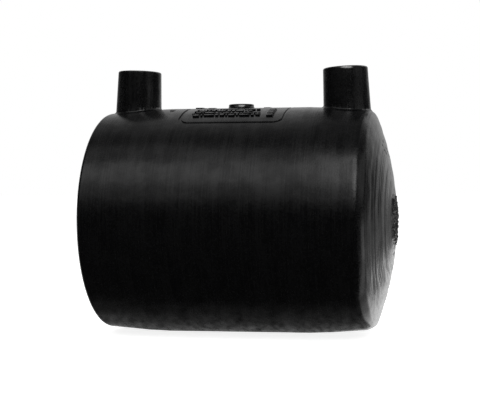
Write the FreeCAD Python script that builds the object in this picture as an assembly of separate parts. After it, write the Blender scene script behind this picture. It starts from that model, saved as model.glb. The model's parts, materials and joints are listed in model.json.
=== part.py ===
# Electrofusion end cap for 63 mm polyethylene pipe.
# X runs along the pipe, with the open mouth at x = 0 and the closed end at +X.
# The two electrical terminals stand up along +Z. All lengths are in millimetres.

import FreeCAD, Part
import math
import os

from FreeCAD import Placement, Rotation, Vector

# Outside of the moulded body
body_length = 95.5
body_diameter = 80.0
mouth_diameter = 77.4
shoulder_diameter = 79.1
end_diameter = 76.0
mouth_taper_length = 18.9
end_taper_length = 18.3
knee_radius = 100.0
mouth_edge_radius = 1.4
end_edge_radius = 3.0
dome_height = 7.3
dome_rings = 8

# Gate mark left in the middle of the dome by the moulding machine
gate_diameter = 14.0
gate_height = 0.8
gate_chamfer = 0.3

# Socket for the pipe, and the space behind it
pipe_diameter = 63.0
pipe_clearance = 0.4
socket_depth = 58.0
socket_chamfer = 0.6
stop_step = 3.4
end_wall = 13.0
chamber_corner_radius = 3.0

# Heating coil in its recess in the socket wall
wire_thickness = 0.9
wire_sunk = 0.2
coil_pitch = 3.6
runs_per_turn = 30
cold_zone_at_mouth = 12.6
cold_zone_at_stop = 6.0
recess_margin = 0.6
seat_gap = 0.05

# Terminal shrouds, whose heights are measured from the wall that each stands on
shroud_base_diameter = 16.45
shroud_top_diameter = 15.55
shroud_height = 14.35
shroud_bore_diameter = 11.4
shroud_floor_height = 2.0
shroud_lean = 2.3
shroud_rim_radius = 0.6
shroud_to_mouth = 1.75
shroud_to_rim = 1.15
root_radius = 0.8
root_overlap = 0.05
root_sections = 24

# Terminal pins
pin_diameter = 4.0
pin_below_rim = 2.6
pin_tip_chamfer = 0.5
collar_diameter = 7.0
collar_thickness = 2.2
foot_diameter = 2.6
lead_overrun = 1.6

# Fusion indicators, each a small pin in a stepped hole beside a terminal
indicator_diameter = 3.2
indicator_chamfer = 0.3
indicator_clearance = 0.2
indicator_sunk = 0.3
indicator_length = 5.0
countersink_diameter = 4.8
countersink_depth = 0.7

# Label pad, set off from the middle between the terminals, and the button on it
pad_offset = 0.75
pad_length = 37.3
pad_width = 43.1
pad_corner_radius = 3.8
pad_groove_width = 1.0
pad_groove_depth = 0.35
button_offset = -0.5
button_base_diameter = 9.25
button_top_diameter = 8.95
button_height = 1.1
button_foot_height = 0.25
button_edge_radius = 0.35

# A turned edge is rounded by chords, and each of them turns by this many degrees at most
chord_turn = 30.0

# Values worked out from the ones above
body_radius = body_diameter / 2
shoulder_radius = shoulder_diameter / 2
dome_tip = body_length + dome_height
bore_radius = pipe_diameter / 2 + pipe_clearance
chamber_radius = bore_radius - stop_step
wire_inner_radius = bore_radius + wire_sunk
wire_outer_radius = wire_inner_radius + wire_thickness
recess_radius = wire_outer_radius + seat_gap
coil_start = cold_zone_at_mouth
coil_turns = math.floor((socket_depth - cold_zone_at_stop - coil_start) / coil_pitch)
coil_end = coil_start + coil_turns * coil_pitch
mouth_terminal = shroud_to_mouth + shroud_base_diameter / 2
closed_terminal = body_length - shroud_to_rim - shroud_base_diameter / 2
shroud_slope = (shroud_base_diameter - shroud_top_diameter) / 2 / shroud_height
pin_bottom = wire_outer_radius + seat_gap
passage_width = wire_thickness + 2 * seat_gap
pad_middle = (mouth_terminal + closed_terminal) / 2 + pad_offset
pad_start = pad_middle - pad_length / 2
pad_end = pad_middle + pad_length / 2
button_position = pad_middle + button_offset
indicator_top = shoulder_radius - indicator_sunk
indicator_bottom = indicator_top - indicator_length
indicator_positions = [
    (mouth_terminal + shroud_base_diameter / 2 + pad_start) / 2,
    (closed_terminal - shroud_base_diameter / 2 + pad_end) / 2,
]
terminals = [(mouth_terminal, shroud_lean), (closed_terminal, -shroud_lean)]

ORIGIN = Vector(0, 0, 0)
X_AXIS = Vector(1, 0, 0)
Y_AXIS = Vector(0, 1, 0)
Z_AXIS = Vector(0, 0, 1)


def outline(corners):
    """The points (along, out) of a turned outline. Each corner is (along, out, rounding)."""
    points = []
    for index, (along, out, rounding) in enumerate(corners):
        if rounding == 0:
            points.append((along, out))
            continue
        corner = Vector(along, out, 0)
        back = (Vector(*corners[index - 1][:2]) - corner).normalize()
        ahead = (Vector(*corners[index + 1][:2]) - corner).normalize()
        half_angle = back.getAngle(ahead) / 2
        reach = rounding / math.tan(half_angle)
        centre = corner + (back + ahead).normalize() * (rounding / math.sin(half_angle))
        start = corner + back * reach - centre
        end = corner + ahead * reach - centre
        turn = start.getAngle(end)
        chords = math.ceil(math.degrees(turn) / chord_turn)
        for step in range(chords + 1):
            swept = turn * step / chords
            spoke = (start * math.sin(turn - swept) + end * math.sin(swept)) * (1 / math.sin(turn))
            points.append((centre.x + spoke.x, centre.y + spoke.y))
    return points


def turned(corners):
    """The solid that a closed outline sweeps round the X axis."""
    points = [Vector(along, 0, out) for along, out in outline(corners)]
    return Part.Face(Part.makePolygon(points + points[:1])).revolve(ORIGIN, X_AXIS, 360)


def turned_upright(corners, x):
    """A turned solid stood up at x, so that its outline's first numbers are heights."""
    solid = turned(corners)
    solid.Placement = Placement(Vector(x, 0, 0), Rotation(Y_AXIS, -90))
    return solid


def upright_cylinder(diameter, x, bottom, top):
    """A cylinder along Z, centred over the pipe's axis at x."""
    return Part.makeCylinder(diameter / 2, top - bottom, Vector(x, 0, bottom), Z_AXIS)


def barrel_corners(sunk):
    """The corners of the barrel-shaped outside from the mouth taper to the end, sunk below the surface."""
    return [
        (mouth_taper_length, body_radius - sunk, knee_radius),
        (body_length - end_taper_length, shoulder_radius - sunk, knee_radius),
    ]


def dome_corners():
    """The shallow domed end from its rim to its tip, as rings whose edges lie on a sphere."""
    rim = end_diameter / 2
    sphere_radius = (rim ** 2 + dome_height ** 2) / (2 * dome_height)
    corners = [(body_length, rim, end_edge_radius)]
    for ring in range(1, dome_rings + 1):
        out = rim * (1 - ring / dome_rings)
        corners.append((dome_tip - sphere_radius + math.sqrt(sphere_radius ** 2 - out ** 2), out, 0))
    return corners


def outer_corners():
    """The outside, from the chamfer in the mouth to the dome's tip."""
    mouth = [(0, bore_radius + socket_chamfer, 0), (0, mouth_diameter / 2, mouth_edge_radius)]
    return mouth + barrel_corners(0) + dome_corners()


def inner_corners():
    """The inside, from the axis to the mouth: chamber, pipe stop, and socket with its coil recess."""
    chamber_end = dome_tip - end_wall
    recess_start = coil_start - wire_thickness / 2 - recess_margin
    recess_end = coil_end + wire_thickness / 2 + recess_margin
    return [
        (chamber_end, 0, 0),
        (chamber_end, chamber_radius, chamber_corner_radius),
        (socket_depth, chamber_radius, 0),
        (socket_depth, bore_radius, 0),
        (recess_end, bore_radius, 0),
        (recess_end, recess_radius, 0),
        (recess_start, recess_radius, 0),
        (recess_start, bore_radius, 0),
        (socket_chamfer, bore_radius, 0),
    ]


def gate_mark():
    """The low stub of the gate, which stands on the dome's tip."""
    gate_tip = dome_tip + gate_height
    return turned([
        (body_length, 0, 0),
        (body_length, gate_diameter / 2, 0),
        (gate_tip - gate_chamfer, gate_diameter / 2, 0),
        (gate_tip, gate_diameter / 2 - gate_chamfer, 0),
        (gate_tip, 0, 0),
    ])


def wall_radius(x):
    """How far out the cap's outside is at x."""
    points = outline(outer_corners())
    for (start, start_out), (end, end_out) in zip(points, points[1:]):
        if start < end and x <= end:
            return start_out + (end_out - start_out) * (x - start) / (end - start)


def leaning(x, lean):
    """Leans what stands at x by an angle, about the point on top of the wall."""
    return Placement(ORIGIN, Rotation(Y_AXIS, lean), Vector(x, 0, wall_radius(x)))


def shroud_top(x):
    """The height of a shroud's rim over the pipe's axis."""
    return wall_radius(x) + shroud_height


def shroud_floor(x):
    """The height of the floor that a contact pin stands up from."""
    return wall_radius(x) + shroud_floor_height


def shroud_radius(rise):
    """The outer radius of a shroud at a height over its wall."""
    return shroud_base_diameter / 2 - shroud_slope * rise


def shroud_post(x, lean):
    """The tapered post of one terminal, whose foot is sunk into the wall."""
    foot = (wire_outer_radius - wall_radius(x)) / 2
    post = turned_upright([
        (wall_radius(x) + foot, 0, 0),
        (wall_radius(x) + foot, shroud_radius(foot), 0),
        (shroud_top(x), shroud_radius(shroud_height), shroud_rim_radius),
        (shroud_top(x), 0, 0),
    ], x)
    post.Placement = leaning(x, lean).multiply(post.Placement)
    return post


def shroud_bore(x, lean):
    """The open space round the contact pin."""
    bore = upright_cylinder(shroud_bore_diameter, x, shroud_floor(x), shroud_top(x) + shroud_height)
    bore.Placement = leaning(x, lean)
    return bore


def rise_of_wall(x, lean, direction, out):
    """How high over a leaning shroud's foot the wall stands at a distance out from the shroud's axis."""
    frame = leaning(x, lean)
    rise = 0
    for _ in range(8):
        point = frame.multVec(Vector(x, 0, wall_radius(x) + rise) + direction * out)
        rise += wall_radius(point.x) - math.hypot(point.y, point.z)
    return rise


def root_section(x, lean, azimuth):
    """The outline of the rounding between the post and the wall, in one plane through the post's axis."""
    direction = Vector(math.cos(azimuth), math.sin(azimuth), 0)
    base = shroud_base_diameter / 2
    foot = rise_of_wall(x, lean, direction, base)
    upper = (shroud_radius(foot + root_radius) - root_overlap, foot + root_radius)
    outer = (base + root_radius, rise_of_wall(x, lean, direction, base + root_radius) - root_overlap)
    hollow = root_radius * (1 - math.sqrt(0.5))
    sunk = (base - root_radius, foot - root_radius)
    points = [upper, (base + hollow, foot + hollow), outer, sunk]
    frame = leaning(x, lean)
    corners = [frame.multVec(Vector(x, 0, wall_radius(x) + rise) + direction * out) for out, rise in points]
    return Part.makePolygon(corners + corners[:1])


def shroud_root(x, lean):
    """The rounding round the foot of a post, lofted round it because the wall falls away at its sides."""
    sections = [root_section(x, lean, 2 * math.pi * step / root_sections) for step in range(root_sections)]
    return Part.makeLoft(sections, True, True, True)


def terminal_pin(x):
    """A turned brass pin: foot on the lead, collar in the shroud's floor, and a bevelled tip."""
    floor = shroud_floor(x)
    collar_bottom = floor - collar_thickness
    pin_top = shroud_top(x) - pin_below_rim
    return turned_upright([
        (pin_bottom, 0, 0),
        (pin_bottom, foot_diameter / 2, 0),
        (collar_bottom, foot_diameter / 2, 0),
        (collar_bottom, collar_diameter / 2, 0),
        (floor, collar_diameter / 2, 0),
        (floor, pin_diameter / 2, 0),
        (pin_top - pin_tip_chamfer, pin_diameter / 2, 0),
        (pin_top, pin_diameter / 2 - pin_tip_chamfer, 0),
        (pin_top, 0, 0),
    ], x)


def pin_pocket(x):
    """The stepped hole under the shroud's floor that the pin's collar and foot sit in."""
    floor = shroud_floor(x)
    below_collar = floor - collar_thickness - seat_gap
    collar_hole = upright_cylinder(collar_diameter + 2 * seat_gap, x, below_collar, floor + collar_thickness)
    foot_hole = upright_cylinder(foot_diameter + 2 * seat_gap, x, pin_bottom - seat_gap, floor)
    return collar_hole.fuse(foot_hole)


def lead_passage():
    """The groove in the socket wall and the hole behind the stop, where the coil's leads run."""
    start = mouth_terminal - lead_overrun - seat_gap
    end = closed_terminal + lead_overrun + seat_gap
    groove_floor = bore_radius - stop_step / 2
    groove = Part.makeBox(
        socket_depth - start, passage_width, recess_radius - groove_floor,
        Vector(start, -passage_width / 2, groove_floor),
    )
    hole_floor = wire_inner_radius - seat_gap
    hole = Part.makeBox(
        end - socket_depth, passage_width, recess_radius - hole_floor,
        Vector(socket_depth, -passage_width / 2, hole_floor),
    )
    return groove.fuse(hole)


def pad_block(inset):
    """The label pad's rounded outline, drawn in by inset, as a tall block over the crest."""
    block = Part.makeBox(
        pad_length - 2 * inset, pad_width - 2 * inset, body_radius,
        Vector(pad_start + inset, -pad_width / 2 + inset, body_radius / 2),
    )
    uprights = [edge for edge in block.Edges if abs(edge.tangentAt(0).z) > 0.99]
    return block.makeFillet(pad_corner_radius - inset, uprights)


def pad_groove():
    """The shallow groove that frames the label pad, as deep all along its curve."""
    ring = pad_block(0).cut(pad_block(pad_groove_width))
    core = turned(
        [(0, 0, 0), (0, mouth_diameter / 2 - pad_groove_depth, 0)]
        + barrel_corners(pad_groove_depth)
        + [(body_length, end_diameter / 2 - pad_groove_depth, 0), (body_length, 0, 0)]
    )
    return ring.cut(core)


def button():
    """The low round button near the middle of the label pad, with an upright wall on a flared foot."""
    slope = (button_base_diameter - button_top_diameter) / 2 / button_foot_height
    sunk = button_base_diameter / 4
    top = body_radius + button_height
    return turned_upright([
        (body_radius - sunk, 0, 0),
        (body_radius - sunk, button_base_diameter / 2 + slope * sunk, 0),
        (body_radius + button_foot_height, button_top_diameter / 2, 0),
        (top, button_top_diameter / 2, button_edge_radius),
        (top, 0, 0),
    ], button_position)


def fusion_indicator(x):
    """A plain pin with a bevelled top, which rises when the joint has melted."""
    return turned_upright([
        (indicator_bottom, 0, 0),
        (indicator_bottom, indicator_diameter / 2, 0),
        (indicator_top - indicator_chamfer, indicator_diameter / 2, 0),
        (indicator_top, indicator_diameter / 2 - indicator_chamfer, 0),
        (indicator_top, 0, 0),
    ], x)


def indicator_hole(x):
    """The blind hole of a fusion indicator, with its countersink."""
    over_crest = max(body_radius, shoulder_radius) + countersink_depth
    hole = upright_cylinder(
        indicator_diameter + 2 * indicator_clearance, x, indicator_bottom - seat_gap, over_crest,
    )
    countersink = upright_cylinder(countersink_diameter, x, shoulder_radius - countersink_depth, over_crest)
    return hole.fuse(countersink)


def body():
    """The moulded cap: shell, gate mark, shrouds and button joined, then every hole and groove cut."""
    added = [gate_mark(), button()]
    cuts = [lead_passage(), pad_groove()]
    for x, lean in terminals:
        added += [shroud_post(x, lean), shroud_root(x, lean)]
        cuts += [shroud_bore(x, lean), pin_pocket(x)]
    for x in indicator_positions:
        cuts.append(indicator_hole(x))
    shell = turned(outer_corners() + inner_corners())
    return shell.fuse(added).cut(cuts).removeSplitter()


def lead(start, end):
    """A straight run of the wire along the crest of the socket wall."""
    return Part.makeBox(
        end - start, wire_thickness, wire_thickness,
        Vector(start, -wire_thickness / 2, wire_inner_radius),
    )


def wire_section(step):
    """The wire's square section after a number of short runs from the start of the winding."""
    turn = 2 * math.pi * step / runs_per_turn
    outward = Vector(0, math.sin(turn), math.cos(turn))
    middle = coil_start + coil_pitch * step / runs_per_turn
    half = wire_thickness / 2
    corners = [
        Vector(middle + side, 0, 0) + outward * radius
        for side, radius in (
            (-half, wire_inner_radius), (half, wire_inner_radius),
            (half, wire_outer_radius), (-half, wire_outer_radius),
        )
    ]
    return Part.makePolygon(corners + corners[:1])


def heating_coil():
    """The helical winding in short straight runs, with a lead from each of its ends to a terminal's foot."""
    sections = [wire_section(step) for step in range(coil_turns * runs_per_turn + 1)]
    winding = Part.makeLoft(sections, True, True)
    return winding.fuse([
        lead(mouth_terminal - lead_overrun, coil_start + wire_thickness / 2),
        lead(coil_end - wire_thickness / 2, closed_terminal + lead_overrun),
    ])


def main():
    os.makedirs("parts", exist_ok=True)
    pieces = {
        "body": body(),
        "heating_coil": heating_coil(),
        "terminal_pin_mouth": terminal_pin(mouth_terminal),
        "terminal_pin_closed": terminal_pin(closed_terminal),
        "fusion_indicator_mouth": fusion_indicator(indicator_positions[0]),
        "fusion_indicator_closed": fusion_indicator(indicator_positions[1]),
    }
    for name, shape in pieces.items():
        shape.exportStep("parts/" + name + ".step")
        print(name, len(shape.Solids), "solid", round(shape.Volume), "mm3", shape.isValid())


main()
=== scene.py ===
# Looks of the electrofusion end cap, in metres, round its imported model.
# X runs along the pipe from the open mouth to the closed end, and the terminals stand up along +Z.

import itertools
import json
import math
import random

import bmesh
import bpy
from mathutils import Matrix, Vector, noise

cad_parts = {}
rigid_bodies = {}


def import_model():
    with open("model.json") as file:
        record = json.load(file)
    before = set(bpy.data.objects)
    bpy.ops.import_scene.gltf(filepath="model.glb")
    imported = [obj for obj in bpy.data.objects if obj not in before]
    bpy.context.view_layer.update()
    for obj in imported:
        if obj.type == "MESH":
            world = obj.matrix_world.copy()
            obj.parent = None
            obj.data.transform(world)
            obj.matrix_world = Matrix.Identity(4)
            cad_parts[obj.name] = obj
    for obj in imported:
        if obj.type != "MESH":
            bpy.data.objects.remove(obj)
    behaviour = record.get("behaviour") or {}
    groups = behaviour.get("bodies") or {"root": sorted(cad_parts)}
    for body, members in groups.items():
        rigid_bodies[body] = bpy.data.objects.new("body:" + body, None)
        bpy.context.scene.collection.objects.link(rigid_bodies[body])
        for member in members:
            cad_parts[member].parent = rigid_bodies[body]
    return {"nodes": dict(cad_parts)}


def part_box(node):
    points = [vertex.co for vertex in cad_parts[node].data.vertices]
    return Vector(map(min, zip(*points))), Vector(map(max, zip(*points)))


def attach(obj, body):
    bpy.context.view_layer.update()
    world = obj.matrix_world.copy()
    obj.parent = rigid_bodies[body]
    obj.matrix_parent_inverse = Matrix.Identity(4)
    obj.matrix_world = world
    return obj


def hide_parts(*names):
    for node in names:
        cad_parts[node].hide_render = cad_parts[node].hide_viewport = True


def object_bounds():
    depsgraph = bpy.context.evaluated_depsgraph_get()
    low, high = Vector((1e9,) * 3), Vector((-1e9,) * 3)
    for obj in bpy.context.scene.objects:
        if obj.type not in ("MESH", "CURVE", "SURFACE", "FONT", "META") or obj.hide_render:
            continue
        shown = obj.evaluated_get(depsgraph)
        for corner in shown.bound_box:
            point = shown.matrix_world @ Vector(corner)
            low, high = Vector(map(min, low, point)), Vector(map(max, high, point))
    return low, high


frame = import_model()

cad_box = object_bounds()

MM = 0.001

# Sizes of the moulded cap that the model is built to, in millimetres
body_radius = 40.0
shoulder_radius = 39.55
knee_at_mouth = 18.9
knee_at_end = 77.2
knee_radius = 100.0
mouth_radius = 38.7
mouth_edge = 1.3
end_radius = 38.0
rim_at = 95.5
dome_height = 7.3
dome_tip = 102.8
gate_radius = 7.0
gate_height = 0.8

# The real rim, in millimetres: where the barrel rolls off, the crease, and the rounding into the dome
lip_at = 92.0
lip_drop = 0.13
lip_rings = 5
crease_at = 93.65
rounding_at = 96.19
rounding_out = 36.28
rounding_pull = 0.8
rounding_rings = 8
last_ring_gap = 0.2
dome_skin_edge = 35.6

# How near two places count as the same, in millimetres
same_place = 0.01

# Degrees from the top: up to the first the rim stays as modelled, for the second terminal's foot,
# and from the other on it has its real outline
foot_turn = 16.0
foot_clear_turn = 24.0

# Relief of the dome's skin, in millimetres, with the cut ring's place round the axis in degrees
ripple_depth = 0.05
first_groove = 10.0
last_groove = 35.0
grooves_end = 36.0
nick_count = 7
gate_overhang = 1.6
gate_raggedness = 1.3
gate_groove_gap = 0.35
gate_groove_depth = 0.3
gate_groove_width = 0.3
cut_ring_gap = 4.6
cut_ring_depth = 0.16
cut_ring_width = 0.28
cut_ring_turn = 125.0

# Patterns in the polyethylene's skin, in millimetres
ring_spacing = 0.5
ring_length = 24.0
broad_ring_spacing = 3.2
broad_ring_length = 30.0
wave_size = 6.0
grain_size = 1.1
flow_marks_start = -29.0
flow_marks_full = -36.0
streak_width = 0.7
streak_length = 14.0
streaks_start = 41.0
streaks_full = 42.5

# Flow marks: how many to a millimetre, how much longer than wide they are, and how steeply they slant
flow_marks_per_mm = 0.85
flow_mark_stretch = 3.2
flow_mark_slope = 0.6

# Depths of the patterns, in millimetres
wave_depth = 0.1
broad_ring_depth = 0.008
mark_depth = 0.003
grain_depth = 0.006
flow_mark_depth = 0.06

# Two painted highlights, spots painted pale grey, in millimetres: where each is, and how far it reaches
button_highlight_spot = (49.5, -4.5, 40.4)
button_highlight_reach = (1.5, 1.2, 0.42)
rim_highlight_spot = (87.2, -7.8, 52.6)
rim_highlight_reach = (2.6, 1.6, 0.45)

# Colours and roughness of the polyethylene, over the tones that its marks and grain give
skin_dark = "#020203"
skin_light = "#070708"
# The pale grey painted onto the two highlight spots
painted_highlight_grey = "#a6a6a5"
tone_low = 0.55
tone_high = 1.05
glossy = 0.205
dull = 0.305
uneven_gloss = 0.03
most_film = 0.37

# Relief of the label, in millimetres
bar_rise = 0.5
bar_sunk = 0.25
bar_rounding = 0.12
bar_shift = 0.35

# Studio levels, where 1 is white
floor_glow = 0.84
fill_level = 0.6
room_level = 0.03
ceiling_level = 0.07
wall_level = 0.78

# The light on the wall behind the cap: how far its middle is moved sideways, and how fast it falls off
wall_shift = 0.08
wall_fall = 1.42

# The cards' height above the floor and the streaks on one of them, in metres, and their slant in degrees
card_lift = 0.2 * MM
card_streak_length = 3.2 * MM
card_streak_width = 0.85 * MM
card_streak_slant = 40

# Socket and winding, in millimetres
bore_radius = 31.9
recess_radius = 33.05
wire_thickness = 0.9
wire_sunk = 0.2
coil_start = 12.6
coil_pitch = 3.6
coil_turns = 10
lead_overrun = 1.6
rib_clearance = 0.12
rib_rounding = 0.25
rib_overlap = 0.05

# The photograph's width in pixels, and the camera that matches it, in millimetres and degrees
photo_width = 480
camera_place = (137.57, -388.76, 15.0)
camera_yaw = 13.05
camera_pitch = -1.14
camera_roll = -0.48
focal_pixels = 1117.0
sensor_width = 36.0

mouth_terminal = sum(corner[0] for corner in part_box("terminal_pin_mouth")) / 2
closed_terminal = sum(corner[0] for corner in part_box("terminal_pin_closed")) / 2
floor_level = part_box("body")[0][2]


def to_linear(hex_colour):
    """An sRGB hex colour as linear RGBA."""
    channels = [int(hex_colour[place:place + 2], 16) / 255 for place in (1, 3, 5)]
    return [c / 12.92 if c <= 0.04045 else ((c + 0.055) / 1.055) ** 2.4 for c in channels] + [1.0]


def add_node(tree, kind, sockets=None, **settings):
    """Adds a node with its settings. A socket's value is a number, a colour or the output that feeds it."""
    node = tree.nodes.new(kind)
    for name, value in settings.items():
        setattr(node, name, value)
    for name, value in (sockets or {}).items():
        if isinstance(value, bpy.types.NodeSocket):
            tree.links.new(value, node.inputs[name])
        else:
            node.inputs[name].default_value = value
    return node


def new_material(name, roughness, colour, **values):
    """A material with one Principled shader, and its tree."""
    material = bpy.data.materials.new(name)
    material.use_nodes = True
    tree = material.node_tree
    shader = tree.nodes["Principled BSDF"]
    shader.inputs["Base Color"].default_value = to_linear(colour)
    shader.inputs["Roughness"].default_value = roughness
    for socket, value in values.items():
        shader.inputs[socket.replace("_", " ").title().replace("Ior", "IOR")].default_value = value
    return material, tree, shader


# Camera

def photo_camera():
    """The photograph's camera: the fitted place and turn, and a lens of the fitted focal length."""
    turn = (
        Matrix.Rotation(math.radians(camera_yaw), 4, "Z")
        @ Matrix.Rotation(math.radians(90 + camera_pitch), 4, "X")
        @ Matrix.Rotation(math.radians(camera_roll), 4, "Z")
    )
    bpy.ops.object.camera_add()
    camera = bpy.context.object
    camera.name = "photo_camera"
    camera.matrix_world = Matrix.Translation(Vector(camera_place) * MM) @ turn
    camera.data.sensor_width = sensor_width
    camera.data.lens = focal_pixels * sensor_width / photo_width
    camera.data.clip_start = 0.01
    bpy.context.scene.camera = camera


# Materials

def black_polyethylene():
    """Carbon-black polyethylene as it leaves the mould: half gloss, faintly mottled, with tool marks and
    two small painted highlights.
    """
    material, tree, shader = new_material(
        "moulded_black_polyethylene", 0.36, "#060607", ior=1.5, specular_ior_level=0.4, coat_roughness=0.25,
    )
    place = add_node(tree, "ShaderNodeTexCoord").outputs["Object"]
    in_mm = add_node(
        tree, "ShaderNodeVectorMath", {0: place, 1: (1000, 1000, 1000)}, operation="MULTIPLY",
    ).outputs[0]
    along, across, height = add_node(tree, "ShaderNodeSeparateXYZ", {0: in_mm}).outputs
    angle = add_node(tree, "ShaderNodeMath", {0: across, 1: height}, operation="ARCTAN2").outputs[0]
    arc = add_node(tree, "ShaderNodeMath", {0: angle, 1: body_radius}, operation="MULTIPLY").outputs[0]

    # The mould was turned, and its tool left fine rings round the barrel, and broader ones
    ring_along = add_node(
        tree, "ShaderNodeMath", {0: along, 1: ring_spacing}, operation="DIVIDE",
    ).outputs[0]
    ring_arc = add_node(tree, "ShaderNodeMath", {0: arc, 1: ring_length}, operation="DIVIDE").outputs[0]
    ring_place = add_node(tree, "ShaderNodeCombineXYZ", {"X": ring_along, "Y": ring_arc}).outputs[0]
    rings = add_node(
        tree, "ShaderNodeTexNoise",
        {"Vector": ring_place, "Scale": 1.0, "Detail": 2.0, "Roughness": 0.6},
    ).outputs["Fac"]
    broad_along = add_node(
        tree, "ShaderNodeMath", {0: along, 1: broad_ring_spacing}, operation="DIVIDE",
    ).outputs[0]
    broad_arc = add_node(
        tree, "ShaderNodeMath", {0: arc, 1: broad_ring_length}, operation="DIVIDE",
    ).outputs[0]
    broad_place = add_node(tree, "ShaderNodeCombineXYZ", {"X": broad_along, "Y": broad_arc}).outputs[0]
    broad_rings = add_node(
        tree, "ShaderNodeTexNoise", {"Vector": broad_place, "Scale": 1.0, "Detail": 1.0},
    ).outputs["Fac"]

    # Shrinkage leaves soft waves a few millimetres across, and the mould's skin a finer grain
    waves = add_node(
        tree, "ShaderNodeTexNoise", {"Vector": in_mm, "Scale": 1 / wave_size, "Detail": 3.0},
    ).outputs["Fac"]
    grain = add_node(
        tree, "ShaderNodeTexNoise",
        {"Vector": in_mm, "Scale": 1 / grain_size, "Detail": 4.0, "Roughness": 0.65},
    ).outputs["Fac"]

    # Flow marks slant across the underside
    slant_along = add_node(
        tree, "ShaderNodeMath", {0: arc, 1: flow_mark_slope, 2: along}, operation="MULTIPLY_ADD",
    ).outputs[0]
    slant_across = add_node(
        tree, "ShaderNodeMath", {0: along, 1: -flow_mark_slope, 2: arc}, operation="MULTIPLY_ADD",
    ).outputs[0]
    slant_long = add_node(
        tree, "ShaderNodeMath", {0: slant_across, 1: flow_mark_stretch}, operation="DIVIDE",
    ).outputs[0]
    slant_place = add_node(
        tree, "ShaderNodeCombineXYZ", {"X": slant_along, "Y": slant_long},
    ).outputs[0]
    flow = add_node(
        tree, "ShaderNodeTexNoise",
        {"Vector": slant_place, "Scale": flow_marks_per_mm, "Detail": 3.0, "Roughness": 0.62},
    ).outputs["Fac"]
    underside = add_node(
        tree, "ShaderNodeMapRange",
        {"Value": height, "From Min": flow_marks_start, "From Max": flow_marks_full},
        interpolation_type="SMOOTHSTEP",
    ).outputs["Result"]
    flow_marks = add_node(
        tree, "ShaderNodeMath", {0: flow, 1: underside}, operation="MULTIPLY",
    ).outputs[0]

    # The shrouds were drawn out of the mould along their length, which streaks them from foot to rim
    streak_along = add_node(
        tree, "ShaderNodeMath", {0: along, 1: streak_width}, operation="DIVIDE",
    ).outputs[0]
    streak_across = add_node(
        tree, "ShaderNodeMath", {0: across, 1: streak_width}, operation="DIVIDE",
    ).outputs[0]
    streak_height = add_node(
        tree, "ShaderNodeMath", {0: height, 1: streak_length}, operation="DIVIDE",
    ).outputs[0]
    streak_place = add_node(
        tree, "ShaderNodeCombineXYZ", {"X": streak_along, "Y": streak_across, "Z": streak_height},
    ).outputs[0]
    streaks = add_node(
        tree, "ShaderNodeTexNoise", {"Vector": streak_place, "Scale": 1.0, "Detail": 2.0},
    ).outputs["Fac"]
    on_shroud = add_node(
        tree, "ShaderNodeMapRange",
        {"Value": height, "From Min": streaks_start, "From Max": streaks_full},
    ).outputs["Result"]
    marks = add_node(
        tree, "ShaderNodeMix", {"Factor": on_shroud, 2: rings, 3: streaks}, data_type="FLOAT",
    ).outputs[0]

    # Two small painted highlights: pale grey spots painted on the button's front and on the second
    # terminal's rim
    painted_highlight_share = 0.0
    for centre, reach in ((button_highlight_spot, button_highlight_reach), (rim_highlight_spot, rim_highlight_reach)):
        away = add_node(
            tree, "ShaderNodeVectorMath", {0: in_mm, 1: centre}, operation="SUBTRACT",
        ).outputs[0]
        away = add_node(tree, "ShaderNodeVectorMath", {0: away, 1: reach}, operation="DIVIDE").outputs[0]
        distance = add_node(
            tree, "ShaderNodeVectorMath", {0: away}, operation="LENGTH",
        ).outputs["Value"]
        spot = add_node(
            tree, "ShaderNodeMapRange", {"Value": distance, "From Min": 1.1, "From Max": 0.5},
            interpolation_type="SMOOTHSTEP",
        ).outputs["Result"]
        painted_highlight_share = add_node(tree, "ShaderNodeMath", {0: painted_highlight_share, 1: spot}, operation="ADD").outputs[0]

    # The colour varies a little with the marks and the grain
    tone = add_node(
        tree, "ShaderNodeMath", {0: marks, 1: 0.6, 2: grain}, operation="MULTIPLY_ADD",
    ).outputs[0]
    colour = add_node(tree, "ShaderNodeValToRGB", {"Fac": tone})
    darkest, lightest = colour.color_ramp.elements
    darkest.position = tone_low
    darkest.color = to_linear(skin_dark)
    lightest.position = 1.0
    lightest.color = to_linear(skin_light)
    # Painted highlights: inside the two spots the skin's colour turns pale grey
    skin_with_painted_highlights = add_node(
        tree, "ShaderNodeMix",
        {"Factor": painted_highlight_share, 6: colour.outputs["Color"], 7: to_linear(painted_highlight_grey)}, data_type="RGBA",
    ).outputs[2]
    tree.links.new(skin_with_painted_highlights, shader.inputs["Base Color"])

    # So does the gloss, which the broad rings and the waves change as well
    gloss = add_node(
        tree, "ShaderNodeMapRange",
        {"Value": tone, "From Min": tone_low, "From Max": tone_high, "To Min": glossy, "To Max": dull},
    ).outputs["Result"]
    uneven = add_node(tree, "ShaderNodeMath", {0: broad_rings, 1: waves}, operation="ADD").outputs[0]
    uneven = add_node(
        tree, "ShaderNodeMapRange",
        {"Value": uneven, "From Min": 0.75, "From Max": 1.25, "To Max": uneven_gloss},
    ).outputs["Result"]
    gloss = add_node(tree, "ShaderNodeMath", {0: gloss, 1: uneven}, operation="ADD").outputs[0]
    tree.links.new(gloss, shader.inputs["Roughness"])

    # A thin waxy film lies unevenly on the skin, and lifts its shine in streaks and patches
    film = add_node(
        tree, "ShaderNodeMath", {0: marks, 1: 0.7, 2: waves}, operation="MULTIPLY_ADD",
    ).outputs[0]
    film = add_node(
        tree, "ShaderNodeMath", {0: broad_rings, 1: 0.5, 2: film}, operation="MULTIPLY_ADD",
    ).outputs[0]
    film = add_node(
        tree, "ShaderNodeMapRange",
        {"Value": film, "From Min": 0.95, "From Max": 1.25, "To Max": most_film},
    ).outputs["Result"]
    tree.links.new(film, shader.inputs["Coat Weight"])

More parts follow.
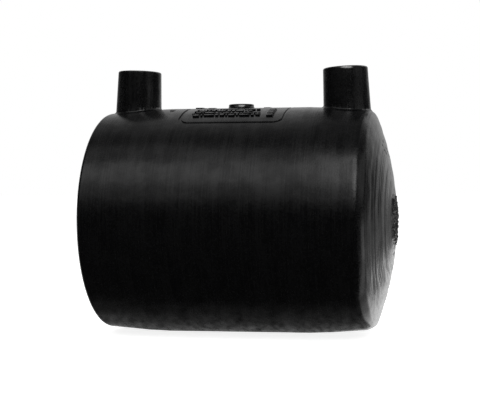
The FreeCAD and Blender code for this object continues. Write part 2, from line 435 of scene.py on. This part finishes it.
    # Each pattern is a bump of its own depth, on top of the one before
    normal = None
    for relief, depth in (
        (waves, wave_depth), (broad_rings, broad_ring_depth), (marks, mark_depth),
        (grain, grain_depth), (flow_marks, flow_mark_depth),
    ):
        sockets = {"Height": relief, "Distance": depth * MM}
        if normal:
            sockets["Normal"] = normal
        normal = add_node(tree, "ShaderNodeBump", sockets).outputs["Normal"]
    tree.links.new(normal, shader.inputs["Normal"])
    tree.links.new(normal, shader.inputs["Coat Normal"])
    return material


def turned_brass():
    """Brass turned on a lathe: bright, with fine rings round each pin."""
    material, tree, shader = new_material("turned_brass", 0.26, "#d3ad62", metallic=1.0)
    place = add_node(tree, "ShaderNodeTexCoord").outputs["Object"]
    # The lathe's tool moved on 0.15 mm at each turn. A wave texture of scale 1 repeats every 0.314 units
    feed = 0.15 * MM
    rings = add_node(
        tree, "ShaderNodeTexWave", {"Vector": place, "Scale": 0.314 / feed, "Distortion": 1.5},
        bands_direction="Z",
    ).outputs["Fac"]
    bump = add_node(tree, "ShaderNodeBump", {"Height": rings, "Distance": 0.004 * MM}).outputs["Normal"]
    tree.links.new(bump, shader.inputs["Normal"])
    tarnish = add_node(
        tree, "ShaderNodeTexNoise", {"Vector": place, "Scale": 1 / (1.4 * MM), "Detail": 3.0},
    ).outputs["Fac"]
    gloss = add_node(
        tree, "ShaderNodeMapRange", {"Value": tarnish, "To Min": 0.16, "To Max": 0.38},
    ).outputs["Result"]
    tree.links.new(gloss, shader.inputs["Roughness"])
    return material


def drawn_wire():
    """Drawn copper alloy wire: satin, a little browned by the hot moulding round it."""
    material, tree, shader = new_material("drawn_resistance_wire", 0.32, "#c58b62", metallic=1.0)
    place = add_node(tree, "ShaderNodeTexCoord").outputs["Object"]
    browning = add_node(
        tree, "ShaderNodeTexNoise", {"Vector": place, "Scale": 1 / (6 * MM), "Detail": 2.0},
    ).outputs["Fac"]
    colour = add_node(tree, "ShaderNodeValToRGB", {"Fac": browning})
    colour.color_ramp.elements[0].color = to_linear("#a9714a")
    colour.color_ramp.elements[1].color = to_linear("#d59b70")
    tree.links.new(colour.outputs["Color"], shader.inputs["Base Color"])
    return material


def indicator_plastic():
    """The same black polymer, moulded in its own small tool and so a shade lighter and smoother."""
    material, tree, shader = new_material("moulded_indicator_plastic", 0.34, "#141415", ior=1.5)
    place = add_node(tree, "ShaderNodeTexCoord").outputs["Object"]
    grain = add_node(
        tree, "ShaderNodeTexNoise", {"Vector": place, "Scale": 1 / (0.6 * MM), "Detail": 3.0},
    ).outputs["Fac"]
    bump = add_node(tree, "ShaderNodeBump", {"Height": grain, "Distance": 0.006 * MM}).outputs["Normal"]
    tree.links.new(bump, shader.inputs["Normal"])
    return material


polyethylene = black_polyethylene()
brass = turned_brass()
wire_metal = drawn_wire()
indicator_black = indicator_plastic()


def dress(piece, name, material):
    """Names a piece, gives it its only material and lets it ride on the cap."""
    piece.name = name
    piece.data.name = name
    piece.data.materials.clear()
    piece.data.materials.append(material)
    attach(piece, "root")


def deselect_all():
    """Leaves edit mode, with nothing selected."""
    if bpy.context.mode != "OBJECT":
        bpy.ops.object.mode_set(mode="OBJECT")
    bpy.ops.object.select_all(action="DESELECT")


def pick(*pieces):
    """Selects just these pieces, with the first one active."""
    deselect_all()
    for piece in pieces:
        piece.select_set(True)
    bpy.context.view_layer.objects.active = pieces[0]


def pick_open_edges():
    """Selects the edges at a gap in the mesh, in edit mode."""
    bpy.ops.mesh.select_all(action="DESELECT")
    bpy.ops.mesh.select_non_manifold(
        extend=False, use_wire=False, use_boundary=True, use_multi_face=False,
        use_non_contiguous=False, use_verts=False,
    )


# Moulded body

def barrel_radius(along):
    """The outside's radius in millimetres between the mouth's knee and the end's."""
    share = (along - knee_at_mouth) / (knee_at_end - knee_at_mouth)
    return body_radius + (shoulder_radius - body_radius) * share


def dome_face(out):
    """How far along X the domed end is at a distance out from the axis, in millimetres."""
    sphere_radius = (end_radius ** 2 + dome_height ** 2) / (2 * dome_height)
    return dome_tip - sphere_radius + math.sqrt(sphere_radius ** 2 - out ** 2)


def smooth_step(value, low, high):
    """0 up to low and 1 from high on, with a soft rise in between."""
    share = min(1.0, max(0.0, (value - low) / (high - low)))
    return share * share * (3 - 2 * share)


def tool_grooves():
    """Grooves that a worn tool left round the dome: each with its radius, depth, width and wander."""
    draw = random.Random(7)
    grooves = []
    out = first_groove
    while out < last_groove:
        grooves.append({
            "out": out,
            "depth": draw.uniform(0.02, 0.065),
            "width": draw.uniform(0.3, 0.8),
            "wander": draw.uniform(0.1, 0.5),
            "phase": draw.uniform(0, 2 * math.pi),
        })
        out += draw.uniform(0.9, 3.0)
    return grooves


def nicks():
    """Small dents on the upper part of the dome, each with its place and size."""
    draw = random.Random(3)
    dents = []
    for _ in range(nick_count):
        place = Vector((draw.uniform(-8, 5), draw.uniform(18, 27), 0))
        dents.append((place, draw.uniform(0.3, 0.6)))
    return dents


def dome_relief(across, height, grooves, dents):
    """How far the real dome's skin stands off the plain dome, in millimetres."""
    out = math.hypot(across, height)
    turn = math.atan2(across, height)
    lower = smooth_step(-height, 0, 18)
    # Faint ripples, and the grooves, which wander more and cut deeper on the lower half
    ripple = noise.noise(Vector((across / 9, height / 9, 4.0)))
    relief = ripple_depth * math.sin(out * 1.15 + ripple * 2.2)
    for groove in grooves:
        phase = groove["phase"]
        wander = groove["wander"] * (math.sin(turn + phase) + 0.5 * math.sin(3 * turn - phase))
        wander += lower * 1.1 * noise.noise(Vector((across / 6, height / 6, phase)))
        off = (out - groove["out"] - wander) / groove["width"]
        relief -= groove["depth"] * (1 + 1.4 * lower) * math.exp(-off * off)
    relief *= smooth_step(grooves_end - out, 0, 2.0)
    for centre, size in dents:
        off = (Vector((across, height, 0)) - centre).length / size
        relief -= 0.9 * size * math.exp(-off * off)
    # The broken gate: a rough low stub with a ragged edge and a groove round it
    ragged = noise.noise(Vector((math.sin(turn) * 2.3, math.cos(turn) * 2.3, 1.7)))
    edge = gate_radius + gate_overhang + gate_raggedness * ragged
    rough = noise.fractal(Vector((across / 1.5, height / 1.5, 0.3)), 0.7, 2.1, 4)
    stub = gate_height * (0.4 + 0.55 * max(-1.0, min(1.0, 1.6 * rough)))
    on_gate = smooth_step(edge - out, -0.2, 0.25)
    relief = relief * (1 - on_gate) + stub * on_gate
    off = (out - edge - gate_groove_gap) / gate_groove_width
    relief -= gate_groove_depth * math.exp(-off * off)
    # Part of a ring that was cut beside it
    beside = smooth_step(math.cos(turn + math.radians(cut_ring_turn)), 0.1, 0.6)
    off = (out - gate_radius - cut_ring_gap) / cut_ring_width
    return relief - cut_ring_depth * beside * math.exp(-off * off)


def dome_skin():
    """The domed end as a fine disc: a grid wrapped into rings round the axis."""
    spokes = 256
    circles = 180
    deselect_all()
    bpy.ops.mesh.primitive_grid_add(x_subdivisions=spokes, y_subdivisions=circles, size=1)
    skin = bpy.context.object
    grooves = tool_grooves()
    dents = nicks()
    for vertex in skin.data.vertices:
        turn = (vertex.co.x + 0.5) * 2 * math.pi
        out = (vertex.co.y + 0.5) * dome_skin_edge
        across = out * math.sin(turn)
        height = out * math.cos(turn)
        along = dome_face(out) + dome_relief(across, height, grooves, dents)
        vertex.co = Vector((along, across, height)) * MM
    bpy.ops.object.mode_set(mode="EDIT")
    bpy.ops.mesh.select_all(action="SELECT")
    bpy.ops.mesh.remove_doubles(threshold=0.002 * MM)
    bpy.ops.mesh.normals_make_consistent(inside=False)
    bpy.ops.object.mode_set(mode="OBJECT")
    if skin.data.polygons[0].normal.x < 0:
        skin.data.flip_normals()
    return skin


def rim_radius(along):
    """The real rim's radius: the barrel rolls off to a crease, and a rounding leads on into the dome."""
    if along <= crease_at:
        share = (along - lip_at) / (crease_at - lip_at)
        return wall_at(along)[0] - lip_drop * share * share
    # A curve of the second degree that leaves the dome along its own slope and ends in the crease
    start = Vector((rounding_at, rounding_out))
    end = Vector((crease_at, wall_at(crease_at)[0] - lip_drop))
    steep = math.asin(rounding_out * 2 * dome_height / (end_radius ** 2 + dome_height ** 2))
    pull = start + rounding_pull * Vector((-math.sin(steep), math.cos(steep)))
    bend = start.x - 2 * pull.x + end.x
    slope = 2 * (pull.x - start.x)
    share = (-slope - math.sqrt(slope ** 2 - 4 * bend * (start.x - along))) / (2 * bend)
    return start.y * (1 - share) ** 2 + pull.y * 2 * share * (1 - share) + end.y * share ** 2


def shape_rim(piece):
    """Cuts rings round the rim in edit mode and moves them to its real outline, clear of the foot."""
    lip = crease_at - lip_at
    rounding = rounding_at - last_ring_gap - crease_at
    rings = [lip_at + lip * step / lip_rings for step in range(lip_rings)]
    rings += [crease_at + rounding * step / rounding_rings for step in range(1, rounding_rings + 1)]
    for along in rings:
        bpy.ops.mesh.select_all(action="SELECT")
        bpy.ops.mesh.bisect(plane_co=(along * MM, 0, 0), plane_no=(1, 0, 0))
    mesh = bmesh.from_edit_mesh(piece.data)
    for vertex in mesh.verts:
        along, across, height = vertex.co / MM
        if not lip_at + same_place < along < rounding_at - same_place:
            continue
        turn = math.degrees(abs(math.atan2(across, height)))
        out = math.hypot(across, height)
        clear = smooth_step(turn, foot_turn, foot_clear_turn)
        scale = 1 + clear * (rim_radius(along) / out - 1)
        vertex.co = Vector((along, across * scale, height * scale)) * MM
    bmesh.update_edit_mesh(piece.data)


def wall_at(along):
    """The plain outside at a distance along X: its radius in millimetres, and how steeply that grows."""
    slopes = [
        (body_radius - mouth_radius) / knee_at_mouth,
        (shoulder_radius - body_radius) / (knee_at_end - knee_at_mouth),
        (end_radius - shoulder_radius) / (rim_at - knee_at_end),
    ]
    if along < knee_at_mouth:
        radius = body_radius + slopes[0] * (along - knee_at_mouth)
    elif along < knee_at_end:
        radius = barrel_radius(along)
    else:
        radius = shoulder_radius + slopes[2] * (along - knee_at_end)
    slope = slopes[0]
    for knee, before, after in ((knee_at_mouth, 0, 1), (knee_at_end, 1, 2)):
        half = knee_radius * abs(slopes[after] - slopes[before]) / 2
        share = min(1.0, max(0.0, (along - knee + half) / (2 * half)))
        slope += share * (slopes[after] - slopes[before])
    return radius, slope


def even_normals(piece):
    """Shades the turned outside as the true curve: each corner on it gets the curve's own normal."""
    mesh = piece.data
    normals = [corner.vector.copy() for corner in mesh.corner_normals]
    for face in mesh.polygons:
        for corner in face.loop_indices:
            place = mesh.vertices[mesh.loops[corner].vertex_index].co / MM
            if not mouth_edge < place.x < lip_at + same_place:
                continue
            out = math.hypot(place.y, place.z)
            radius, slope = wall_at(place.x)
            # The floor of the label's groove counts as well, but not what stands on the wall
            if not -0.5 < out - radius < 0.1:
                continue
            ideal = Vector((-slope, place.y / out, place.z / out)).normalized()
            if face.normal.dot(ideal) > math.cos(math.radians(35)):
                normals[corner] = ideal
    mesh.normals_split_custom_set(normals)


def moulded_body():
    """The model's body with its joins merged and its plain end swapped for the finely marked one."""
    pick(frame["nodes"]["body"])
    bpy.ops.object.duplicate()
    cap = bpy.context.object
    bpy.ops.object.parent_clear(type="CLEAR_KEEP_TRANSFORM")
    bpy.ops.object.mode_set(mode="EDIT")
    bpy.ops.mesh.select_all(action="SELECT")
    bpy.ops.mesh.remove_doubles(threshold=0.001 * MM)
    # The plain end goes, from the rounding inwards
    mesh = bmesh.from_edit_mesh(cap.data)
    for face in mesh.faces:
        face.select_set(all(vertex.co.x > (rounding_at - 0.1) * MM for vertex in face.verts))
    bmesh.update_edit_mesh(cap.data)
    bpy.ops.mesh.delete(type="FACE")
    shape_rim(cap)
    bpy.ops.object.mode_set(mode="OBJECT")
    skin = dome_skin()
    pick(cap, skin)
    bpy.ops.object.join()
    bpy.ops.object.mode_set(mode="EDIT")
    bpy.ops.mesh.select_mode(type="EDGE")
    pick_open_edges()
    bpy.ops.mesh.bridge_edge_loops()
    bpy.ops.object.mode_set(mode="OBJECT")
    bpy.ops.object.shade_smooth_by_angle(angle=math.radians(50))
    # The crease stays a sharp line all round
    for edge in cap.data.edges:
        ends = [cap.data.vertices[end].co.x / MM for end in edge.vertices]
        if all(abs(end - crease_at) < same_place for end in ends):
            edge.use_edge_sharp = True
    weighting = cap.modifiers.new("even_shading", "WEIGHTED_NORMAL")
    weighting.keep_sharp = True
    bpy.ops.object.modifier_apply(modifier=weighting.name)
    even_normals(cap)
    dress(cap, "moulded_cap", polyethylene)
    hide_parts("body")
    return cap


moulded_body()


# Relief on the label pad, wrapped round the barrel

def raised_block(along, arc, length, width, rise):
    """A rounded block on the barrel. Arc is measured from the crest towards the front, in millimetres."""
    deselect_all()
    bpy.ops.mesh.primitive_cube_add(size=1)
    block = bpy.context.object
    block.scale = (length, width, rise + bar_sunk)
    block.location = (along, arc, (rise - bar_sunk) / 2)
    bpy.ops.object.transform_apply()
    bpy.ops.object.mode_set(mode="EDIT")
    bpy.ops.mesh.select_all(action="SELECT")
    bpy.ops.mesh.subdivide(number_cuts=2)
    bpy.ops.object.mode_set(mode="OBJECT")
    rounding = block.modifiers.new("rounding", "BEVEL")
    rounding.width = bar_rounding
    rounding.segments = 2
    rounding.limit_method = "ANGLE"
    bpy.ops.object.modifier_apply(modifier=rounding.name)
    for vertex in block.data.vertices:
        radius = barrel_radius(vertex.co.x) + vertex.co.z
        turn = vertex.co.y / body_radius
        vertex.co = Vector((vertex.co.x, -radius * math.sin(turn), radius * math.cos(turn))) * MM
    return block


def bar_row(start, end, arc, width, gap, lengths):
    """A row of bars along the barrel, with lengths that repeat in turn until the row is full."""
    draw = random.Random(round(arc * 10))
    bars = []
    along = start
    for length in itertools.cycle(lengths):
        if along + length > end:
            return bars
        side = arc + draw.uniform(-bar_shift, bar_shift)
        breadth = width * draw.uniform(0.6, 1.1)
        bars.append(raised_block(along + length / 2, side, length, breadth, bar_rise))
        along += length + gap


def label_relief():
    """Rows of plain raised bars where the moulded text is, and a loose mark beside the pad."""
    bars = bar_row(35.0, 57.8, 10.4, 1.3, 0.4, (1.7, 0.8, 2.6, 1.3, 0.6, 1.9, 3.1))
    bars += bar_row(34.6, 57.9, 12.6, 1.5, 0.5, (1.0, 2.7, 0.7, 1.4, 3.3, 1.1))
    bars += bar_row(34.3, 59.4, 15.0, 1.1, 0.35, (0.8, 1.9, 0.6, 3.4, 1.1, 0.9, 2.4))
    bars += bar_row(34.9, 59.0, 17.0, 1.3, 0.45, (2.2, 0.7, 3.6, 1.1, 1.6, 0.6))
    # Low bars on the crest, at both sides of the button
    for start, end, rise in ((32.3, 34.7, 0.35), (35.0, 36.2, 0.15), (36.9, 39.3, 0.2), (57.1, 59.3, 0.15)):
        bars.append(raised_block((start + end) / 2, 1.5, end - start, 3.6, rise))
    # Rungs one above the other at the end of the rows, and the loose mark
    for rung in range(4):
        bars.append(raised_block(61.9, 10.6 + 2.2 * rung, 2.3, 1.6, bar_rise))
    bars.append(raised_block(25.4, 8.9, 1.6, 2.2, 0.2))
    pick(*bars)
    bpy.ops.object.join()
    relief = bpy.context.object
    bpy.ops.object.shade_smooth_by_angle(angle=math.radians(35))
    dress(relief, "label_relief", polyethylene)


label_relief()


# Winding in the socket

def heating_wire():
    """Round wire wound on the model's helix, with a straight lead from each end to its terminal."""
    points_per_turn = 48
    middle = (bore_radius + wire_sunk + wire_thickness / 2) * MM
    points = [Vector((mouth_terminal - lead_overrun * MM, 0, middle))]
    for step in range(coil_turns * points_per_turn + 1):
        turn = 2 * math.pi * step / points_per_turn
        along = (coil_start + coil_pitch * step / points_per_turn) * MM
        points.append(Vector((along, middle * math.sin(turn), middle * math.cos(turn))))
    points.append(Vector((closed_terminal + lead_overrun * MM, 0, middle)))
    curve = bpy.data.curves.new("heating_wire", "CURVE")
    curve.dimensions = "3D"
    line = curve.splines.new("POLY")
    line.points.add(len(points) - 1)
    for point, place in zip(line.points, points):
        point.co = (*place, 1)
    curve.bevel_depth = wire_thickness / 2 * MM
    curve.bevel_resolution = 2
    curve.use_fill_caps = True
    wire = bpy.data.objects.new("heating_wire", curve)
    bpy.context.collection.objects.link(wire)
    pick(wire)
    bpy.ops.object.convert(target="MESH")
    wire = bpy.context.object
    bpy.ops.object.shade_smooth_by_angle(angle=math.radians(40))
    dress(wire, "heating_wire", wire_metal)
    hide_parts("heating_coil")


heating_wire()


def socket_ribs():
    """The polyethylene left standing between the turns, flush with the socket's wall."""
    turns = coil_turns - 1
    steps = 96 * turns
    half = (coil_pitch - wire_thickness) / 2 - rib_clearance
    foot = recess_radius + rib_overlap
    shoulder = bore_radius + rib_rounding
    section = [
        (-half, foot), (-half, shoulder), (-half + rib_rounding, bore_radius),
        (half - rib_rounding, bore_radius), (half, shoulder), (half, foot),
    ]
    deselect_all()
    bpy.ops.mesh.primitive_grid_add(x_subdivisions=steps, y_subdivisions=len(section), size=1)
    ribs = bpy.context.object
    for vertex in ribs.data.vertices:
        share = vertex.co.x + 0.5
        corner = round((vertex.co.y + 0.5) * len(section)) % len(section)
        side, radius = section[corner]
        turn = 2 * math.pi * turns * share
        along = coil_start + coil_pitch / 2 + coil_pitch * turns * share + side
        vertex.co = Vector((along, radius * math.sin(turn), radius * math.cos(turn))) * MM
    bpy.ops.object.mode_set(mode="EDIT")
    bpy.ops.mesh.select_all(action="SELECT")
    bpy.ops.mesh.remove_doubles(threshold=0.002 * MM)
    pick_open_edges()
    bpy.ops.mesh.edge_face_add()
    bpy.ops.mesh.select_all(action="SELECT")
    bpy.ops.mesh.normals_make_consistent(inside=False)
    bpy.ops.object.mode_set(mode="OBJECT")
    bpy.ops.object.shade_smooth_by_angle(angle=math.radians(50))
    dress(ribs, "socket_ribs", polyethylene)


socket_ribs()


# Carried-over pieces

def finish_node(name, material):
    """Gives a node of the model its finish."""
    node = frame["nodes"][name]
    node.data.materials.clear()
    node.data.materials.append(material)


finish_node("terminal_pin_mouth", brass)
finish_node("terminal_pin_closed", brass)
finish_node("fusion_indicator_mouth", indicator_black)
finish_node("fusion_indicator_closed", indicator_black)


# Studio

def background_rays(tree):
    """1 for rays from the lens, a gloss or a clear body, which see the background as it is drawn."""
    path = add_node(tree, "ShaderNodeLightPath").outputs
    camera_or_gloss = add_node(
        tree, "ShaderNodeMath", {0: path["Is Camera Ray"], 1: path["Is Glossy Ray"]},
        operation="MAXIMUM",
    ).outputs[0]
    return add_node(
        tree, "ShaderNodeMath", {0: camera_or_gloss, 1: path["Is Transmission Ray"]},
        operation="MAXIMUM",
    ).outputs[0]


def pale_floor():
    """Plain pale floor, shown white to the lens, which keeps the cap's shadow."""
    deselect_all()
    bpy.ops.mesh.primitive_plane_add(size=6, location=(0, 0, floor_level))
    floor = bpy.context.object
    floor.name = "pale_floor"
    material = bpy.data.materials.new("pale_floor_paint")
    material.use_nodes = True
    tree = material.node_tree
    tree.nodes.clear()
    paint = add_node(tree, "ShaderNodeBsdfDiffuse", {"Color": to_linear("#e6e6e6")}).outputs[0]
    glow = add_node(
        tree, "ShaderNodeEmission", {"Color": to_linear("#ffffff"), "Strength": floor_glow},
    ).outputs[0]
    both = add_node(tree, "ShaderNodeAddShader", {0: paint, 1: glow}).outputs[0]
    seen = background_rays(tree)
    mixed = add_node(tree, "ShaderNodeMixShader", {0: seen, 1: paint, 2: both}).outputs[0]
    add_node(tree, "ShaderNodeOutputMaterial", {"Surface": mixed})
    floor.data.materials.append(material)


def floor_card(name, start, end, level_near_lens, level_far_side, turn=0, streaks=0):
    """A card on the floor, seen only in the cap's gloss. It turns on its start, and may be streaked."""
    deselect_all()
    bpy.ops.mesh.primitive_plane_add(size=1)
    card = bpy.context.object
    card.name = name
    card.scale = (end[0] - start[0], end[1] - start[1], 1)
    lifted = floor_level + card_lift
    corner = Vector((start[0], start[1], lifted))
    middle = Vector(((start[0] + end[0]) / 2, (start[1] + end[1]) / 2, lifted))
    swing = Matrix.Rotation(math.radians(turn), 3, "Z")
    card.location = corner + swing @ (middle - corner)
    card.rotation_euler.z = math.radians(turn)
    bpy.ops.object.transform_apply()
    material = bpy.data.materials.new(name + "_paper")
    material.use_nodes = True
    tree = material.node_tree
    tree.nodes.clear()
    place = add_node(tree, "ShaderNodeTexCoord").outputs["Object"]
    away = add_node(tree, "ShaderNodeSeparateXYZ", {0: place}).outputs["Y"]
    level = add_node(
        tree, "ShaderNodeMapRange",
        {
            "Value": away, "From Min": start[1], "From Max": end[1],
            "To Min": level_near_lens, "To Max": level_far_side,
        },
    ).outputs["Result"]
    if streaks:
        slanted = add_node(
            tree, "ShaderNodeMapping",
            {
                "Vector": place, "Rotation": (0, 0, math.radians(card_streak_slant)),
                "Scale": (card_streak_length, card_streak_width, 1),
            },
            vector_type="TEXTURE",
        ).outputs[0]
        pattern = add_node(
            tree, "ShaderNodeTexNoise", {"Vector": slanted, "Scale": 1.0, "Detail": 2.0},
        ).outputs["Fac"]
        pattern = add_node(
            tree, "ShaderNodeMapRange",
            {
                "Value": pattern, "From Min": 0.4, "From Max": 0.6,
                "To Min": 1 - streaks, "To Max": 1 + streaks,
            },
        ).outputs["Result"]
        level = add_node(tree, "ShaderNodeMath", {0: level, 1: pattern}, operation="MULTIPLY").outputs[0]
    glow = add_node(tree, "ShaderNodeEmission", {"Strength": level}).outputs[0]
    add_node(tree, "ShaderNodeOutputMaterial", {"Surface": glow})
    card.data.materials.append(material)
    card.visible_camera = False
    card.visible_diffuse = False
    card.visible_shadow = False


def studio_surroundings():
    """White behind the cap for the lens. A gloss sees a room that is lightest behind the cap."""
    world = bpy.data.worlds.new("studio")
    bpy.context.scene.world = world
    world.use_nodes = True
    tree = world.node_tree
    tree.nodes.clear()
    direction = add_node(tree, "ShaderNodeTexCoord").outputs["Generated"]
    sideways, back, up = add_node(tree, "ShaderNodeSeparateXYZ", {0: direction}).outputs
    overhead = add_node(tree, "ShaderNodeMath", {0: up, 1: 0.0}, operation="MAXIMUM").outputs[0]
    overhead = add_node(tree, "ShaderNodeMath", {0: overhead, 1: 2.0}, operation="POWER").outputs[0]
    overhead = add_node(
        tree, "ShaderNodeMath", {0: overhead, 1: ceiling_level, 2: room_level}, operation="MULTIPLY_ADD",
    ).outputs[0]
    # The wall behind the cap is lit in its middle and falls off to both sides
    wall = add_node(tree, "ShaderNodeMath", {0: back, 1: 0.0}, operation="MAXIMUM").outputs[0]
    beside = add_node(tree, "ShaderNodeMath", {0: sideways, 1: wall_shift}, operation="ADD").outputs[0]
    beside = add_node(tree, "ShaderNodeMath", {0: beside, 1: beside}, operation="MULTIPLY").outputs[0]
    middle = add_node(
        tree, "ShaderNodeMath", {0: beside, 1: -wall_fall, 2: 1.0}, operation="MULTIPLY_ADD",
    ).outputs[0]
    middle = add_node(tree, "ShaderNodeMath", {0: middle, 1: 0.0}, operation="MAXIMUM").outputs[0]
    wall = add_node(tree, "ShaderNodeMath", {0: wall, 1: middle}, operation="MULTIPLY").outputs[0]
    # High up the light on it is narrower, and ends sooner on the closed end's side
    high = add_node(
        tree, "ShaderNodeMapRange", {"Value": up, "From Min": 0.42, "From Max": 0.62},
    ).outputs["Result"]
    before_end = add_node(
        tree, "ShaderNodeMapRange", {"Value": sideways, "From Min": 0.3, "From Max": 0.1},
    ).outputs["Result"]
    high = add_node(tree, "ShaderNodeMath", {0: high, 1: before_end}, operation="MULTIPLY").outputs[0]
    for dark_at, bright_at, lost in ((-0.03, -0.2, 0.95), (-0.48, -0.3, 0.7)):
        shade = add_node(
            tree, "ShaderNodeMapRange",
            {"Value": sideways, "From Min": bright_at, "From Max": dark_at, "To Min": 0.0, "To Max": lost},
            interpolation_type="SMOOTHSTEP",
        ).outputs["Result"]
        shade = add_node(tree, "ShaderNodeMath", {0: shade, 1: high}, operation="MULTIPLY").outputs[0]
        kept = add_node(tree, "ShaderNodeMath", {0: 1.0, 1: shade}, operation="SUBTRACT").outputs[0]
        wall = add_node(tree, "ShaderNodeMath", {0: wall, 1: kept}, operation="MULTIPLY").outputs[0]
    level = add_node(
        tree, "ShaderNodeMath", {0: wall, 1: wall_level, 2: overhead}, operation="MULTIPLY_ADD",
    ).outputs[0]
    room = add_node(tree, "ShaderNodeBackground", {"Strength": level}).outputs[0]
    fill = add_node(tree, "ShaderNodeBackground", {"Strength": fill_level}).outputs[0]
    white = add_node(
        tree, "ShaderNodeBackground", {"Color": to_linear("#ffffff"), "Strength": 1.0},
    ).outputs[0]
    path = add_node(tree, "ShaderNodeLightPath").outputs
    for_gloss = add_node(
        tree, "ShaderNodeMixShader", {0: path["Is Glossy Ray"], 1: fill, 2: room},
    ).outputs[0]
    for_lens = add_node(
        tree, "ShaderNodeMath", {0: path["Is Camera Ray"], 1: path["Is Transmission Ray"]},
        operation="MAXIMUM",
    ).outputs[0]
    seen = add_node(tree, "ShaderNodeMixShader", {0: for_lens, 1: for_gloss, 2: white}).outputs[0]
    add_node(tree, "ShaderNodeOutputWorld", {"Surface": seen})


def soft_lamp(name, azimuth, elevation, distance, width, height, radiance):
    """A rectangular lamp that faces the cap. Azimuth runs from +Y towards +X, and radiance 1 is white."""
    aim = Vector(((cad_box[0][0] + cad_box[1][0]) / 2, 0, 0))
    round_z = math.radians(azimuth)
    above = math.radians(elevation)
    level = math.cos(above)
    away = Vector((math.sin(round_z) * level, math.cos(round_z) * level, math.sin(above)))
    bpy.ops.object.light_add(type="AREA", location=aim + away * distance)
    lamp = bpy.context.object
    lamp.name = name
    lamp.rotation_euler = away.to_track_quat("Z", "Y").to_euler()
    lamp.data.shape = "RECTANGLE"
    lamp.data.size = width
    lamp.data.size_y = height
    lamp.data.energy = radiance * math.pi * width * height


pale_floor()
# The cards lie round the cap: dark towards the lens, and light behind it and beside its closed end
floor_card("front_card", (-3.0, -3.0), (0.1, -0.032), 0.03, 0.03)
floor_card("corner_card", (0.098, -0.03), (3.098, 2.97), 0.03, 0.03, turn=-125)
floor_card("near_card", (-0.3, -0.032), (0.0965, -0.004), 0.02, 0.23, streaks=0.9)
floor_card("end_front_card", (0.0965, -0.03), (0.125, -0.006), 0.2, 1.5)
floor_card("end_card", (0.0965, -0.006), (0.125, 0.2), 1.5, 1.2)
floor_card("end_far_card", (0.125, -0.025), (0.175, 0.16), 0.05, 1.5)
floor_card("behind_card", (0.05, 0.0), (0.0965, 0.22), 1.2, 1.2)
floor_card("side_card", (0.175, -0.004), (3.0, 0.5), 0.3, 0.3)
floor_card("far_card", (-3.0, 0.5), (3.0, 3.0), 0.3, 0.12)
studio_surroundings()
# The first four lamps stand on the camera's side, and the others light the closed end
soft_lamp("softbox_over_camera", -168, 48.5, 0.9, 1.3, 0.34, 0.62)
soft_lamp("softbox_surround", -168, 40.0, 0.92, 1.34, 0.62, 0.36)
soft_lamp("softbox_top", -152, 66.5, 0.92, 0.75, 0.22, 0.36)
soft_lamp("softbox_bright_side", 159, 46.5, 0.88, 0.18, 0.65, 2.2)
soft_lamp("side_fill", 105, 32, 0.9, 0.75, 0.58, 0.42)
soft_lamp("softbox_behind_end", 42, 33, 0.9, 0.6, 0.5, 0.5)
photo_camera()

bpy.context.scene.view_settings.view_transform = "Standard"
